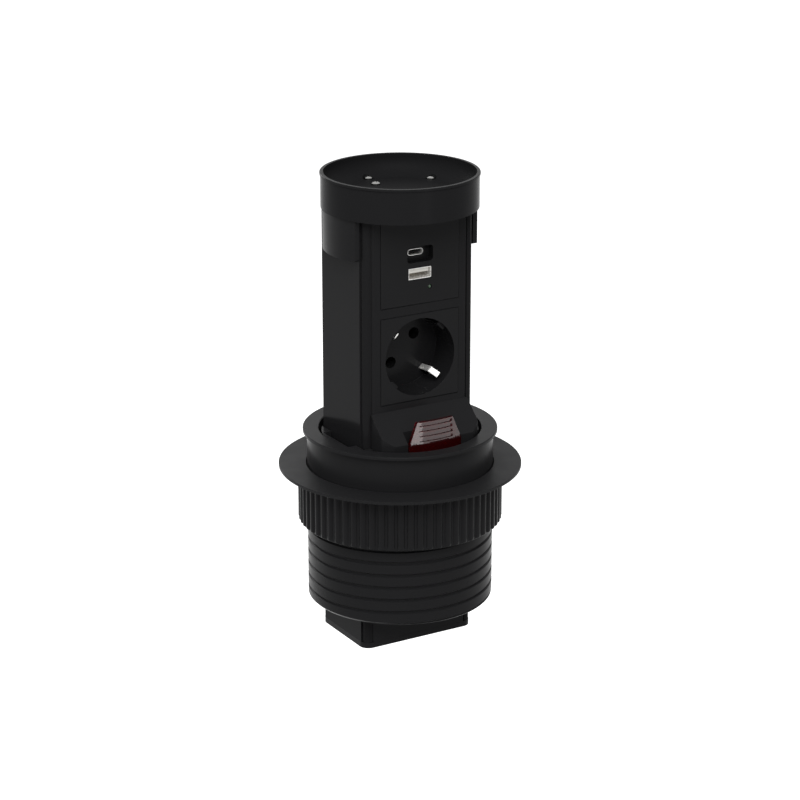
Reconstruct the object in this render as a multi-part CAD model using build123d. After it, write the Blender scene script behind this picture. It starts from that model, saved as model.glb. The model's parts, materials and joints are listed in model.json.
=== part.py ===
from build123d import *
import math
import os

# Pop up desk socket, raised. Lengths are millimetres. The axis of the worktop
# hole is x = y = 0, the top of the worktop is z = 0, and the sockets face -Y.

# Gaps and cuts shared by all pieces
overrun = 1.0  # how far a cut runs past the face that it opens
running_gap = 0.3  # between pieces that slide or turn past each other
seat_gap = 0.05  # between a piece and the seat that it rests on
screw_gap = 0.05  # round a screw, pin or contact in its hole

# Threaded sleeve, which hangs in the worktop hole by its flange
side_room = 10.0  # between the tower's flat side and the bore
bore_step = 0.8  # by which the mouth is narrower than the bore
sleeve_wall = 5.2
flange_reach = 2.1
flange_thickness = 1.6
flange_chamfer = 0.4
mouth_depth = 8.4
sleeve_depth = 88.6
sleeve_chamfer = 1.2
key_half_width = 1.5
key_height = 1.0

# Thread: a right hand groove round the sleeve and a short ridge in the nut
thread_pitch = 6.6
groove_depth = 1.0
groove_mouth = 2.0
groove_floor = 0.8
ridge_base = 1.2
ridge_tip = 0.4
ridge_root = 0.4
ridge_inset = 0.7
ridge_turns = 1.5
turns_below_ridge = 7
turns_above_ridge = 4

# Clamp disc and ring nut
grip = 17.1
disc_width = 14.0
disc_thickness = 1.5
disc_hole_gap = 0.5
nut_height = 28.6
nut_wall = 3.2
nut_chamfer = 0.5
nut_rib_count = 66
nut_rib_radius = 1.9
nut_rib_sunk = 0.6
nut_rib_end = 1.25

# Tower shell, an extrusion open at the front
tower_length = 221.75
cover_margin = 5.0  # of the front cover beside each module
cover_edge = 1.1  # chamfer along the cover's sides
tower_front = -19.3
tower_rear = 26.0
tower_wall = 2.2
notch_width = 4.7
notch_depth = 3.9
bead_radius = 2.9
bead_inset_x = 3.8
bead_inset_y = 3.3
column_width = 6.9
column_depth = 6.1
channel_radius = 1.2

# Round tray and head plate on top of the tower
tray_height = 17.6
tray_gap = 1.6  # between the tray's lip and the sleeve's mouth
tray_lip = 0.4
tray_wall = 1.5
tray_floor = 3.4
tray_lip_height = 1.2
tray_edge_chamfer = 0.3
tray_dish_radius = 9.0  # between the tray's floor and its wall
tray_pocket_gap = 0.5  # round each screw head in the tray
head_gap = 0.3
head_thickness = 3.3
skirt_inset = 0.8
skirt_wall = 1.5
skirt_gap = 0.3  # between the ends of a skirt and the tower's side
skirt_height = 20.6
skirt_reach = 16.2  # to the front and the rear
skirt_corner = 1.2

# Screws: every one has a flat or pan head with a cross recess
screw_radius = 1.2
screw_length = 8.0
head_height = 1.7
pan_radius = 2.3
pan_rounding = 0.6
recess_reach = 1.3
recess_width = 0.5
recess_depth = 0.8
flat_head_radius = 2.4
flat_head_height = 1.4
tray_screw_inset = 6.3  # from the tray's wall to the screws round it
tray_screw_turns = (30, 90, 150, 270)  # degrees round the axis
tray_screw_rear = 19.7
tray_screw_rear_x = -2.5
tray_screw_front = -16.7
tray_screw_reach = 3.0

# The two square modules in the front cover
well_border = 2.45  # of the module face beside the socket well
module_gap = 0.15
module_proud = 0.35
module_edge = 0.3
module_rim = 0.95
module_rim_thickness = 1.5
module_drop = 1.05  # from the tower's top to the upper module
module_space = 5.1  # between the two modules

# Earthed socket insert
well_radius = 19.9
well_wall = 1.5
well_depth = 17.5
well_floor = 2.0
pin_circle = 9.5
pin_hole_radius = 2.9
guide_height = 1.7
guide_width = 5.0
guide_start = 2.5
clip_width = 3.0
clip_thickness = 0.8
clip_turn = 45  # degrees from the upright
clip_mouth_inset = 2.8
clip_mouth_depth = 2.7
clip_bend_inset = 5.8
clip_bend_depth = 7.1
clip_bend_length = 0.8
clip_foot_inset = 3.4
clip_foot_depth = 16.8
slot_side_gap = 0.4
slot_inset = 4.6
slot_start = 14.6

# Contacts behind the socket well
carrier_inset = 0.9
carrier_thickness = 3.0
contact_room = 0.25  # by which the bore behind a pin hole is wider
contact_setback = 5.0
boss_radius = 4.2
boss_length = 14.6
boss_end = 1.0
contact_wall = 0.6
contact_slit = 0.6

# USB module
pocket_width = 14.6
pocket_height = 8.0
pocket_corner = 1.7
pocket_depth = 4.5
pocket_wall = 1.3
usb_c_above = 3.1
usb_c_width = 8.94
usb_c_height = 3.26
usb_c_wall = 0.3
usb_c_sunk = 0.35
usb_c_tongue_width = 6.7
usb_c_tongue_height = 0.7
usb_c_tongue_back = 0.9
usb_c_base = 1.5
usb_a_below = 6.7
usb_a_width = 13.1
usb_a_height = 5.7
usb_a_wall = 0.4
usb_a_sunk = 0.45
usb_a_base = 2.0
usb_a_tongue_width = 11.1
usb_a_tongue_height = 1.8
usb_a_tongue_back = 1.0
usb_a_tongue_rise = 1.2
contact_strip_width = 1.0
contact_strip_height = 0.2
contact_strip_pitch = 2.3
contact_strip_back = 0.8
contact_strip_count = 4
usb_corner = 0.6
led_x = 5.6
led_below = 14.2
led_radius = 1.0
led_proud = 0.05
board_y = -8.3
board_thickness = 1.6
board_inset = 2.6
post_inset = 5.35
post_radius = 2.4
board_screw_length = 5.0
transformer_x = -9.0
transformer_above = 2.0
transformer_half_width = 7.0
transformer_half_height = 6.5
transformer_depth = 12.0
bobbin_lip = 1.2
bobbin_lip_thickness = 1.5
capacitor_radius = 4.0
capacitor_length = 12.0
capacitor_x = 8.5
capacitor_places = (-4.3, 5.5)  # above the middle of the board
capacitor_groove = 0.3

# Release housing: a wedge at the foot of the tower's front
wedge_overlap = 0.5  # over the columns beside the cover
wedge_top = 17.5
wedge_space = 3.45  # between the wedge and the socket module
wedge_inset = 8.4  # from the bore to the wedge's front
wedge_lip = 4.0
wedge_gap = 0.7  # between the wedge's rounded corners and the mouth
shoe_length = 43.3
slot_half_width = 15.2
slot_shallow_depth = 5.3
slot_depth = 10.3
slot_bottom = -34.0
pin_inset = 12.2
pin_z = -30.0
pin_radius = 1.5
pin_reach = 5.0
wedge_screw_inset = 5.5  # from the cover's side
wedge_screw_low = -43.0
wedge_screw_drop = 16.0  # from the socket module's rim to the upper screws

# Release lever, a ribbed tab on an arm that turns on the pin
tab_top_half = 10.3
tab_half = 14.9
tab_inset = 5.6  # from the bore to the tab's knee
tab_knee_z = 3.3
tab_top = 14.6
tab_lean = 7.0  # degrees
tab_bow = 60.0
tab_thickness = 1.8
tab_groove_half = 9.7
tab_groove_height = 1.35
tab_groove_pitch = 2.55
tab_groove_first = 1.5
tab_groove_depth = 0.9
tab_groove_count = 4
arm_inset = 4.6
arm_thickness = 4.6
arm_top = -9.0
web_depth = 4.5
web_height = 5.0
barrel_radius = 3.0
pad_half_width = 12.0
pad_bottom = -26.0
pad_top = -12.0
spring_z = -16.0
spring_radius = 2.7
spring_wire = 0.3
spring_turns = 6

# Guide shoes round the foot of the tower
shoe_side_gap = 0.2
shoe_front = -22.0
shoe_rear = 28.7
shoe_top = -0.2
shoe_top_gap = 1.5
shoe_pocket_depth = 4.5
shoe_pocket_front = -11.5
shoe_pocket_rear = 14.0
shoe_pocket_bottom = -34.0
rear_pocket_half = 18.0
rear_pocket_wall = 2.9
rear_shoe_gap = 0.15
shoe_screw_z = -43.0
shoe_screw_y = (-4.0, 10.0)
rear_screw_x = 10.0
shoe_screw_seat = 4.0

# End cap, cord inlet and terminal block
cap_thickness = 3.0
cap_corner = 5.0
cap_ring_height = 6.0
cap_ring_wall = 1.5
inlet_y = 10.0
inlet_radius = 6.0
inlet_bore = 4.0
bushing_lip = 1.6
bushing_lip_height = 1.2
terminal_half_width = 12.0
terminal_front = -13.0
terminal_rear = -1.0
terminal_height = 14.0
terminal_bore = 1.35
terminal_bore_depth = 6.0
terminal_screw_radius = 1.5
terminal_screw_drop = 3.4
cord_hole_rise = 4.0

# Wires inside the tower
wire_radius = 1.2
wire_run_y = 14.0
wire_low_rise = 12.0
wire_high_rise = 26.0
wire_bend = 8.0
earth_run_y = 10.0
lead_bend_drop = 15.1  # below the middle of the USB module

# Places worked out from the sizes above
module_half = well_radius + well_border
cover_half = module_half + module_gap + cover_margin
tower_half_width = cover_half + notch_width
bore_radius = tower_half_width + side_room
mouth_radius = bore_radius - bore_step
crest_radius = bore_radius + sleeve_wall
flange_radius = crest_radius + flange_reach
disc_hole = crest_radius + disc_hole_gap
disc_radius = disc_hole + disc_width
nut_bore = crest_radius + running_gap
nut_body_radius = nut_bore + nut_wall
nut_rib_circle = nut_body_radius - nut_rib_sunk
tray_lip_radius = mouth_radius - tray_gap
tray_radius = tray_lip_radius - tray_lip
tray_inside = tray_radius - tray_wall
tray_screw_circle = tray_inside - tray_screw_inset
head_radius = tray_inside - head_gap
skirt_radius = tray_radius - skirt_inset
flange_top = flange_thickness
tower_top = wedge_top + wedge_space + 4 * module_half + module_space + module_drop
tray_top = tower_top + tray_height
tower_bottom = tower_top - tower_length
head_top = tower_top + head_thickness
floor_top = head_top + tray_floor
disc_top = -grip
disc_bottom = disc_top - disc_thickness
nut_top = disc_bottom - seat_gap
nut_bottom = disc_bottom - nut_height
ridge_start = nut_bottom + ridge_inset
shoulder = -mouth_depth
shoe_shoulder = shoulder - running_gap
shoe_radius = bore_radius - running_gap
shoe_bottom = shoe_shoulder - shoe_length
shoe_top_radius = mouth_radius - shoe_top_gap
cover_back = tower_front + tower_wall
column_x = tower_half_width - column_width
bead_x = tower_half_width - bead_inset_x
bead_ys = (tower_front + bead_inset_y, tower_rear - bead_inset_y)
bead_places = [(side * bead_x, y) for side in (-1, 1) for y in bead_ys]
usb_z = tower_top - module_drop - module_half
socket_z = usb_z - 2 * module_half - module_space
wedge_screw_x = cover_half - wedge_screw_inset
wedge_screw_high = socket_z - module_half - module_rim - wedge_screw_drop
wedge_screw_heights = (wedge_screw_low, wedge_screw_high)
lead_bend_z = usb_z - lead_bend_drop
module_face = tower_front - module_proud
rim_back = cover_back + module_rim_thickness
well_bottom = module_face + well_depth
well_back = well_bottom + well_floor
carrier_radius = well_radius - carrier_inset
sleeve_hole = pin_hole_radius + contact_room
pin_offset = pin_circle / math.sqrt(2)
pin_places = [(side * pin_offset, socket_z + side * pin_offset) for side in (-1, 1)]
boss_back = well_back + carrier_thickness + boss_length
strap_back = well_back + clip_thickness
usb_c_z = usb_z + usb_c_above
usb_a_z = usb_z - usb_a_below
led_z = usb_z - led_below
board_back = board_y + board_thickness
board_half = module_half - board_inset
post_offset = module_half - post_inset
wedge_half_width = cover_half + wedge_overlap
wedge_front = wedge_inset - bore_radius
wedge_radius = mouth_radius - wedge_gap
slot_back = wedge_front + slot_shallow_depth
slot_deep_back = wedge_front + slot_depth
pin_y = pin_inset - bore_radius
tab_knee_y = tab_inset - bore_radius
arm_front = arm_inset - bore_radius
arm_back = arm_front + arm_thickness
web_back = arm_back + web_depth
cap_bottom = tower_bottom - cap_thickness
terminal_top = tower_bottom + terminal_height
terminal_y = (terminal_front + terminal_rear) / 2
terminal_screw_z = terminal_top - terminal_screw_drop


def block(x, y, z):
    """Box between the limits given for each axis."""
    limits = (x, y, z)
    middle = [(low + high) / 2 for low, high in limits]
    size = [high - low for low, high in limits]
    return Pos(*middle) * Box(*size)


def upright(radius, z, x=0, y=0):
    """Cylinder along Z between the limits z."""
    low, high = z
    return Pos(x, y, (low + high) / 2) * Cylinder(radius, high - low)


def along_y(radius, y, x=0, z=0):
    """Cylinder along Y between the limits y."""
    low, high = y
    return Pos(x, (low + high) / 2, z) * Rot(X=90) * Cylinder(radius, high - low)


def along_x(radius, x, y=0, z=0):
    """Cylinder along X between the limits x."""
    low, high = x
    return Pos((low + high) / 2, y, z) * Rot(Y=90) * Cylinder(radius, high - low)


def facing(sketch, y, x=0, z=0):
    """Sketch drawn in X and Z about the place x, z, extruded between the limits y."""
    low, high = y
    front = Plane(origin=(x, high, z), x_dir=(1, 0, 0), z_dir=(0, -1, 0))
    return extrude(front * sketch, high - low)


def side_profile(points, half_width):
    """Outline drawn in Y and Z, extruded to both sides of x = 0."""
    outline = make_face(Polyline(*points, close=True))
    return extrude(Plane.YZ * outline, half_width, both=True)


def helix_sweep(section, radius, start, turns):
    """Section (radial, axial) swept up a right hand thread from z = start."""
    path = Helix(thread_pitch, thread_pitch * turns, radius, center=(0, 0, start))
    outline = make_face(Polyline(*section, close=True))
    across = Plane(origin=path @ 0, x_dir=(1, 0, 0), z_dir=path % 0)
    return sweep(across * outline, path, is_frenet=True)


def cross_recess():
    """Cut for a cross point driver, open upwards at z = 0."""
    depth = (-recess_depth, overrun)
    reach = (-recess_reach, recess_reach)
    width = (-recess_width / 2, recess_width / 2)
    return block(reach, width, depth) + block(width, reach, depth)


def pan_screw(length, radius=screw_radius):
    """Screw whose head stands on z = 0 and whose shank points down."""
    head = upright(pan_radius, (0, head_height))
    head = fillet(head.edges().sort_by(Axis.Z)[-1], pan_rounding)
    return head + upright(radius, (-length, 0)) - Pos(0, 0, head_height) * cross_recess()


def flat_screw(length):
    """Screw with a countersunk head whose flat top is z = 0, shank down."""
    rise_to_shank = -flat_head_height
    head = Pos(0, 0, rise_to_shank / 2) * Cone(screw_radius, flat_head_radius, flat_head_height)
    return head + upright(screw_radius, (-length, rise_to_shank)) - cross_recess()


def flat_hole(length):
    """Hole for a flat screw: the same cone and shank with room round them."""
    top = flat_head_radius + screw_gap
    shank = screw_radius + screw_gap
    depth = flat_head_height + screw_gap
    cone = Pos(0, 0, -depth / 2) * Cone(shank, top, depth)
    return cone + upright(shank, (-length - overrun, 0)) + upright(top, (0, overrun))


def threaded_sleeve():
    """Flanged tube with a shoulder in its bore and a thread groove outside."""
    body = upright(crest_radius, (-sleeve_depth, 0))
    body = chamfer(body.edges().group_by(Axis.Z)[0], sleeve_chamfer)
    flange = upright(flange_radius, (0, flange_top))
    flange = chamfer(flange.edges().group_by(Axis.Z)[-1], flange_chamfer)
    body += flange
    body -= upright(mouth_radius, (shoulder, flange_top + overrun))
    body -= upright(bore_radius, (-sleeve_depth - overrun, shoulder))
    mouth = body.edges().group_by(Axis.Z)[-1].sort_by(SortBy.RADIUS)[0]
    body = chamfer(mouth, flange_chamfer)
    groove_reach = bore_radius + key_height
    groove_half = key_half_width + running_gap
    length = (-sleeve_depth - overrun, shoulder)
    body -= block((-groove_reach, groove_reach), (-groove_half, groove_half), length)
    return body - thread_groove()


def thread_groove():
    """Helical groove cut into the sleeve from below its smooth collar."""
    flank = (groove_mouth - groove_floor) / 2 / groove_depth
    outside = groove_mouth / 2 + flank * overrun
    section = [
        (-groove_depth, -groove_floor / 2),
        (-groove_depth, groove_floor / 2),
        (overrun, outside),
        (overrun, -outside),
    ]
    start = ridge_start - thread_pitch * turns_below_ridge
    return helix_sweep(section, crest_radius, start, turns_below_ridge + turns_above_ridge)


def clamp_disc():
    """Flat ring that the nut presses against the underside of the worktop."""
    ring = upright(disc_radius, (disc_bottom, disc_top))
    return ring - upright(disc_hole, (disc_bottom - overrun, disc_top + overrun))


def ring_nut():
    """Nut with half round grip ribs, whose lower ends are rounded off."""
    outline = Circle(nut_body_radius)
    for spot in PolarLocations(nut_rib_circle, nut_rib_count):
        outline += spot * Circle(nut_rib_radius)
    body = Pos(0, 0, nut_bottom) * extrude(outline, nut_top - nut_bottom)
    rib_reach = nut_rib_circle + nut_rib_radius
    envelope = upright(rib_reach, (nut_bottom, nut_top))
    envelope = fillet(envelope.edges().group_by(Axis.Z)[0], nut_rib_end)
    envelope = chamfer(envelope.edges().group_by(Axis.Z)[-1], nut_chamfer)
    body = body & envelope
    body -= upright(nut_bore, (nut_bottom - overrun, nut_top + overrun))
    tip = nut_bore - (crest_radius - groove_depth + running_gap)
    section = [
        (ridge_root, -ridge_base / 2),
        (ridge_root, ridge_base / 2),
        (-tip, ridge_tip / 2),
        (-tip, -ridge_tip / 2),
    ]
    return body + helix_sweep(section, nut_bore, ridge_start, ridge_turns)


def tower_section():
    """Cross section of the tower shell, with its columns and screw channels."""
    middle = (tower_front + tower_rear) / 2
    depth = tower_rear - tower_front
    outline = Pos(0, middle) * Rectangle(2 * tower_half_width, depth)
    notch = Rectangle(notch_width, notch_depth)
    notch_x = tower_half_width - notch_width / 2
    for side in (-1, 1):
        for y in (tower_front + notch_depth / 2, tower_rear - notch_depth / 2):
            outline -= Pos(side * notch_x, y) * notch
    for x, y in bead_places:
        outline += Pos(x, y) * Circle(bead_radius)
    inside_depth = depth - 2 * tower_wall
    inside = Pos(0, middle) * Rectangle(2 * (tower_half_width - tower_wall), inside_depth)
    keep_x = (column_x + tower_half_width) / 2
    column = Rectangle(column_width, column_depth)
    for side in (-1, 1):
        for y in (tower_front + column_depth / 2, tower_rear - column_depth / 2):
            inside -= Pos(side * keep_x, y) * column
    front = Rectangle(2 * cover_half, tower_wall + overrun)
    outline -= inside + Pos(0, cover_back - (tower_wall + overrun) / 2) * front
    for x, y in bead_places:
        outline -= Pos(x, y) * Circle(channel_radius + screw_gap)
    return outline


def tower_shell():
    """Extruded shell, with holes for the screws of the guide shoes."""
    body = Pos(0, 0, tower_bottom) * extrude(tower_section(), tower_length)
    hole = screw_radius + screw_gap
    reach = tower_half_width + overrun
    for y in shoe_screw_y:
        body -= along_x(hole, (-reach, reach), y, shoe_screw_z)
    back = (tower_rear - tower_wall - overrun, tower_rear + overrun)
    for side in (-1, 1):
        body -= along_y(hole, back, side * rear_screw_x, shoe_screw_z)
    return body


def front_cover():
    """Plate that closes the shell, with a window for each module."""
    plate = block((-cover_half, cover_half), (tower_front, cover_back), (tower_bottom, tower_top))
    plate = chamfer(plate.faces().sort_by(Axis.Y)[0].edges().filter_by(Axis.Z), cover_edge)
    cut = (tower_front - overrun, cover_back + overrun)
    window = Rectangle(2 * (module_half + module_gap), 2 * (module_half + module_gap))
    for z in (usb_z, socket_z):
        plate -= facing(window, cut, z=z)
    for side in (-1, 1):
        for z in wedge_screw_heights:
            plate -= along_y(screw_radius + screw_gap, cut, side * wedge_screw_x, z)
    return plate


def module_plate(z):
    """Square face, proud of the cover, on a wider rim that lies behind it."""
    square = Rectangle(2 * module_half, 2 * module_half)
    rim_half = module_half + module_rim
    face = facing(square, (module_face, cover_back), z=z)
    face = chamfer(face.faces().sort_by(Axis.Y)[0].edges(), module_edge)
    rim = facing(Rectangle(2 * rim_half, 2 * rim_half), (cover_back, rim_back), z=z)
    return face + rim


def turned(shape, degrees):
    """Shape turned about the axis of the socket well, which runs along Y."""
    return Pos(0, 0, socket_z) * Rot(Y=degrees) * shape


def socket_insert():
    """Square face with the round well, pin holes and guide ribs."""
    outside = well_radius + well_wall
    body = module_plate(socket_z) + along_y(outside, (cover_back, well_back), z=socket_z)
    body -= along_y(well_radius, (module_face - overrun, well_bottom), z=socket_z)
    guide = block(
        (well_radius - guide_height, well_radius + well_wall / 2),
        (module_face + guide_start, well_bottom),
        (-guide_width / 2, guide_width / 2),
    )
    slot_half = clip_width / 2 + slot_side_gap
    slot = block(
        (well_radius - slot_inset, outside + overrun),
        (module_face + slot_start, well_back + overrun),
        (-slot_half, slot_half),
    )
    for degrees in (clip_turn - 90, clip_turn + 90):
        body += turned(guide, degrees)
    for degrees in (clip_turn, clip_turn + 180):
        body -= turned(slot, degrees)
    for x, z in pin_places:
        body -= along_y(pin_hole_radius, (well_bottom - overrun, well_back + overrun), x, z)
    return body


def earth_clip():
    """One bent strip: two sprung arms in the well joined behind its floor."""
    strap = well_back + clip_thickness / 2
    bend = well_radius - clip_bend_inset
    foot = well_radius - clip_foot_inset
    arm = [
        (well_radius - clip_mouth_inset, module_face + clip_mouth_depth),
        (bend, module_face + clip_bend_depth),
        (bend, module_face + clip_bend_depth + clip_bend_length),
        (foot, module_face + clip_foot_depth),
        (foot, strap),
        (0, strap),
    ]
    strip = Sketch()
    for (r0, y0), (r1, y1) in zip(arm, arm[1:]):
        run = math.hypot(r1 - r0, y1 - y0)
        slope = math.degrees(math.atan2(y1 - y0, r1 - r0))
        middle = Pos((r0 + r1) / 2, (y0 + y1) / 2)
        strip += middle * Rot(Z=slope) * Rectangle(run, clip_thickness)
        strip += Pos(r0, y0) * Circle(clip_thickness / 2)
    strip += mirror(strip, Plane.YZ)
    body = extrude(strip, clip_width / 2, both=True)
    return turned(body, clip_turn)


def contact_carrier():
    """Round plate behind the well with a boss round each contact."""
    back = well_back + carrier_thickness
    body = along_y(carrier_radius, (well_back, back), z=socket_z)
    for x, z in pin_places:
        body += along_y(boss_radius, (well_back, boss_back), x, z)
    for x, z in pin_places:
        body -= along_y(sleeve_hole, (well_back - overrun, boss_back - boss_end), x, z)
    half = clip_width / 2 + screw_gap
    reach = carrier_radius + overrun
    groove = block((-reach, reach), (well_back - overrun, strap_back + seat_gap), (-half, half))
    wire_hole = along_y(wire_radius + screw_gap, (well_back, back + overrun), z=socket_z)
    return body - turned(groove, clip_turn) - wire_hole


def contact_sleeves():
    """Slit tubes that grip the two pins of a plug."""
    sleeves = []
    for x, z in pin_places:
        length = (well_back + contact_setback, boss_back - boss_end - seat_gap)
        cut = (length[0] - overrun, length[1] + overrun)
        outside = sleeve_hole - screw_gap
        tube = along_y(outside, length, x, z)
        tube -= along_y(outside - contact_wall, cut, x, z)
        side = (x, x + boss_radius) if x > 0 else (x - boss_radius, x)
        tube -= block(side, cut, (z - contact_slit / 2, z + contact_slit / 2))
        sleeves.append(tube)
    return sleeves


def slot_shape(width, height):
    """Flat oval outline of a reversible port."""
    return SlotOverall(width, height)


def usb_faceplate():
    """Square face with a pocket, port openings, a lamp hole and four posts."""
    body = module_plate(usb_z)
    pocket = RectangleRounded(pocket_width, pocket_height, pocket_corner)
    cup_width = pocket_width + 2 * pocket_wall
    cup_height = pocket_height + 2 * pocket_wall
    pocket_back = module_face + pocket_depth
    cup = RectangleRounded(cup_width, cup_height, pocket_corner + pocket_wall)
    body += facing(cup, (cover_back, pocket_back + pocket_wall), z=usb_c_z)
    body -= facing(pocket, (module_face - overrun, pocket_back), z=usb_c_z)
    through = (module_face - overrun, board_y)
    oval = slot_shape(usb_c_width + 2 * screw_gap, usb_c_height + 2 * screw_gap)
    body -= facing(oval, through, z=usb_c_z)
    port = Rectangle(usb_a_width + 2 * screw_gap, usb_a_height + 2 * screw_gap)
    body -= facing(port, through, z=usb_a_z)
    body -= along_y(led_radius + screw_gap, through, led_x, led_z)
    for x, z in post_places():
        body += along_y(post_radius, (cover_back, board_y - seat_gap), x, z)
        hole = (board_y - board_screw_length, board_y)
        body -= along_y(screw_radius + screw_gap, hole, x, z)
    return body


def post_places():
    """Places of the four posts and screws that hold the circuit board."""
    offsets = (-post_offset, post_offset)
    return [(x, usb_z + z) for x in offsets for z in offsets]


def usb_circuit_board():
    """Board behind the ports, screwed to the posts."""
    x = (-board_half, board_half)
    z = (usb_z - board_half, usb_z + board_half)
    board = block(x, (board_y, board_back), z)
    for x, z in post_places():
        cut = (board_y - overrun, board_back + overrun)
        board -= along_y(screw_radius + screw_gap, cut, x, z)
    return board


def board_screws():
    """Screws driven from behind the board into the posts."""
    shank = board_thickness + board_screw_length - overrun
    screw = Rot(X=-90) * pan_screw(shank)
    return [Pos(x, board_back + seat_gap, z) * screw for x, z in post_places()]


def usb_a_shell():
    """Folded metal mouth of the larger port."""
    front = module_face + usb_a_sunk
    outside = RectangleRounded(usb_a_width, usb_a_height, usb_corner)
    inside = Rectangle(usb_a_width - 2 * usb_a_wall, usb_a_height - 2 * usb_a_wall)
    shell = facing(outside, (front, board_y - seat_gap), z=usb_a_z)
    return shell - facing(inside, (front - overrun, board_y), z=usb_a_z)


def usb_a_tongue():
    """Plastic base and tongue inside the larger port."""
    inner = 2 * (usb_a_wall + screw_gap)
    base = Rectangle(usb_a_width - inner, usb_a_height - inner)
    back = board_y - seat_gap
    body = facing(base, (board_y - usb_a_base, back), z=usb_a_z)
    front = module_face + usb_a_sunk + usb_a_tongue_back
    tongue = Rectangle(usb_a_tongue_width, usb_a_tongue_height)
    return body + facing(tongue, (front, back), z=usb_a_z + usb_a_tongue_rise)


def usb_a_contacts():
    """Flat strips on the lower side of the tongue."""
    top = usb_a_z + usb_a_tongue_rise - usb_a_tongue_height / 2
    front = module_face + usb_a_sunk + usb_a_tongue_back + contact_strip_back
    back = board_y - usb_a_base
    strips = []
    for number in range(contact_strip_count):
        x = (number - (contact_strip_count - 1) / 2) * contact_strip_pitch
        width = (x - contact_strip_width / 2, x + contact_strip_width / 2)
        strips.append(block(width, (front, back), (top - contact_strip_height, top)))
    return strips


def usb_c_shell():
    """Oval metal mouth of the smaller port, at the bottom of the pocket."""
    front = module_face + pocket_depth + usb_c_sunk
    inner = 2 * usb_c_wall
    shell = facing(slot_shape(usb_c_width, usb_c_height), (front, board_y - seat_gap), z=usb_c_z)
    inside = slot_shape(usb_c_width - inner, usb_c_height - inner)
    return shell - facing(inside, (front - overrun, board_y), z=usb_c_z)


def usb_c_tongue():
    """Plastic base and tongue inside the smaller port."""
    inner = 2 * (usb_c_wall + screw_gap)
    back = board_y - seat_gap
    base = slot_shape(usb_c_width - inner, usb_c_height - inner)
    body = facing(base, (board_y - usb_c_base, back), z=usb_c_z)
    front = module_face + pocket_depth + usb_c_sunk + usb_c_tongue_back
    return body + facing(Rectangle(usb_c_tongue_width, usb_c_tongue_height), (front, back), z=usb_c_z)


def status_led():
    """Round lamp body with a domed front."""
    dome = module_face + led_radius - led_proud
    body = along_y(led_radius, (dome, board_y - seat_gap), led_x, led_z)
    return body + Pos(led_x, dome, led_z) * Sphere(led_radius)


def power_transformer():
    """Converter transformer on the back of the board: core with a bobbin lip."""
    front = board_back + seat_gap
    z = usb_z + transformer_above
    core = Rectangle(2 * transformer_half_width, 2 * transformer_half_height)
    lip_width = 2 * (transformer_half_width - bobbin_lip)
    lip_height = 2 * (transformer_half_height + bobbin_lip)
    body = facing(core, (front, front + transformer_depth), transformer_x, z)
    for start in (front, front + transformer_depth - bobbin_lip_thickness):
        lip = (start, start + bobbin_lip_thickness)
        body += facing(Rectangle(lip_width, lip_height), lip, transformer_x, z)
    return body


def filter_capacitors():
    """Round capacitors standing on the back of the board."""
    front = board_back + seat_gap
    cans = []
    for above in capacitor_places:
        z = usb_z + above
        can = along_y(capacitor_radius, (front, front + capacitor_length), capacitor_x, z)
        neck = (front + capacitor_groove, front + 3 * capacitor_groove)
        inner = capacitor_radius - capacitor_groove
        ring = along_y(capacitor_radius + overrun, neck, capacitor_x, z)
        cans.append(can - (ring - along_y(inner, neck, capacitor_x, z)))
    return cans


def head_plate():
    """Disc that closes the tower's top, with a curved skirt down each side."""
    disc = upright(head_radius, (tower_top, head_top))
    height = (tower_top - skirt_height, tower_top)
    sides = (-skirt_reach, skirt_reach)
    limits = block((-skirt_radius, skirt_radius), sides, height)
    limits = fillet(limits.edges().filter_by(Axis.X).group_by(Axis.Z)[0], skirt_corner)
    inner = tower_half_width + skirt_gap
    below = (tower_top - skirt_height - overrun, tower_top)
    skirt = upright(skirt_radius, height) & limits
    skirt -= block((-inner, inner), (-skirt_radius, skirt_radius), below)
    hollow_sides = (skirt_wall - skirt_reach, skirt_reach - skirt_wall)
    hollow = block((-skirt_radius, skirt_radius), hollow_sides, below)
    skirt -= upright(skirt_radius - skirt_wall, below) & hollow
    body = disc + skirt
    for x, y in bead_places:
        body -= Pos(x, y, head_top) * flat_hole(head_thickness)
    for x, y in tray_screw_places():
        body -= upright(screw_radius + screw_gap, (tower_top - overrun, head_top + overrun), x, y)
    return body


def tray_screw_places():
    """Places of the bright screws on the floor of the tray."""
    turns = [math.radians(degrees) for degrees in tray_screw_turns]
    ring = [(tray_screw_circle * math.cos(t), tray_screw_circle * math.sin(t)) for t in turns]
    return ring + [(tray_screw_rear_x, tray_screw_rear), (0, tray_screw_front)]


def top_tray():
    """Round dish that also closes the hole in the worktop when lowered."""
    body = upright(tray_radius, (tower_top, tray_top - tray_lip_height))
    lip = upright(tray_lip_radius, (tray_top - tray_lip_height, tray_top))
    body += chamfer(lip.edges().group_by(Axis.Z)[-1], tray_edge_chamfer)
    dish = upright(tray_inside, (floor_top, tray_top + overrun))
    body -= fillet(dish.edges().group_by(Axis.Z)[0], tray_dish_radius)
    pocket = pan_radius + tray_pocket_gap
    for x, y in tray_screw_places():
        body -= upright(pocket, (floor_top, tray_top), x, y)
    for x, y in bead_places:
        body -= upright(flat_head_radius + screw_gap, (tower_top - overrun, head_top), x, y)
    body -= upright(tray_inside, (tower_top - overrun, head_top))
    for x, y in tray_screw_places():
        body -= upright(screw_radius + screw_gap, (head_top - overrun, floor_top + overrun), x, y)
    return body


def head_screws():
    """Flat screws that hold the head plate to the shell's columns."""
    screw = flat_screw(head_thickness + screw_length)
    return [Pos(x, y, head_top) * screw for x, y in bead_places]


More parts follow.
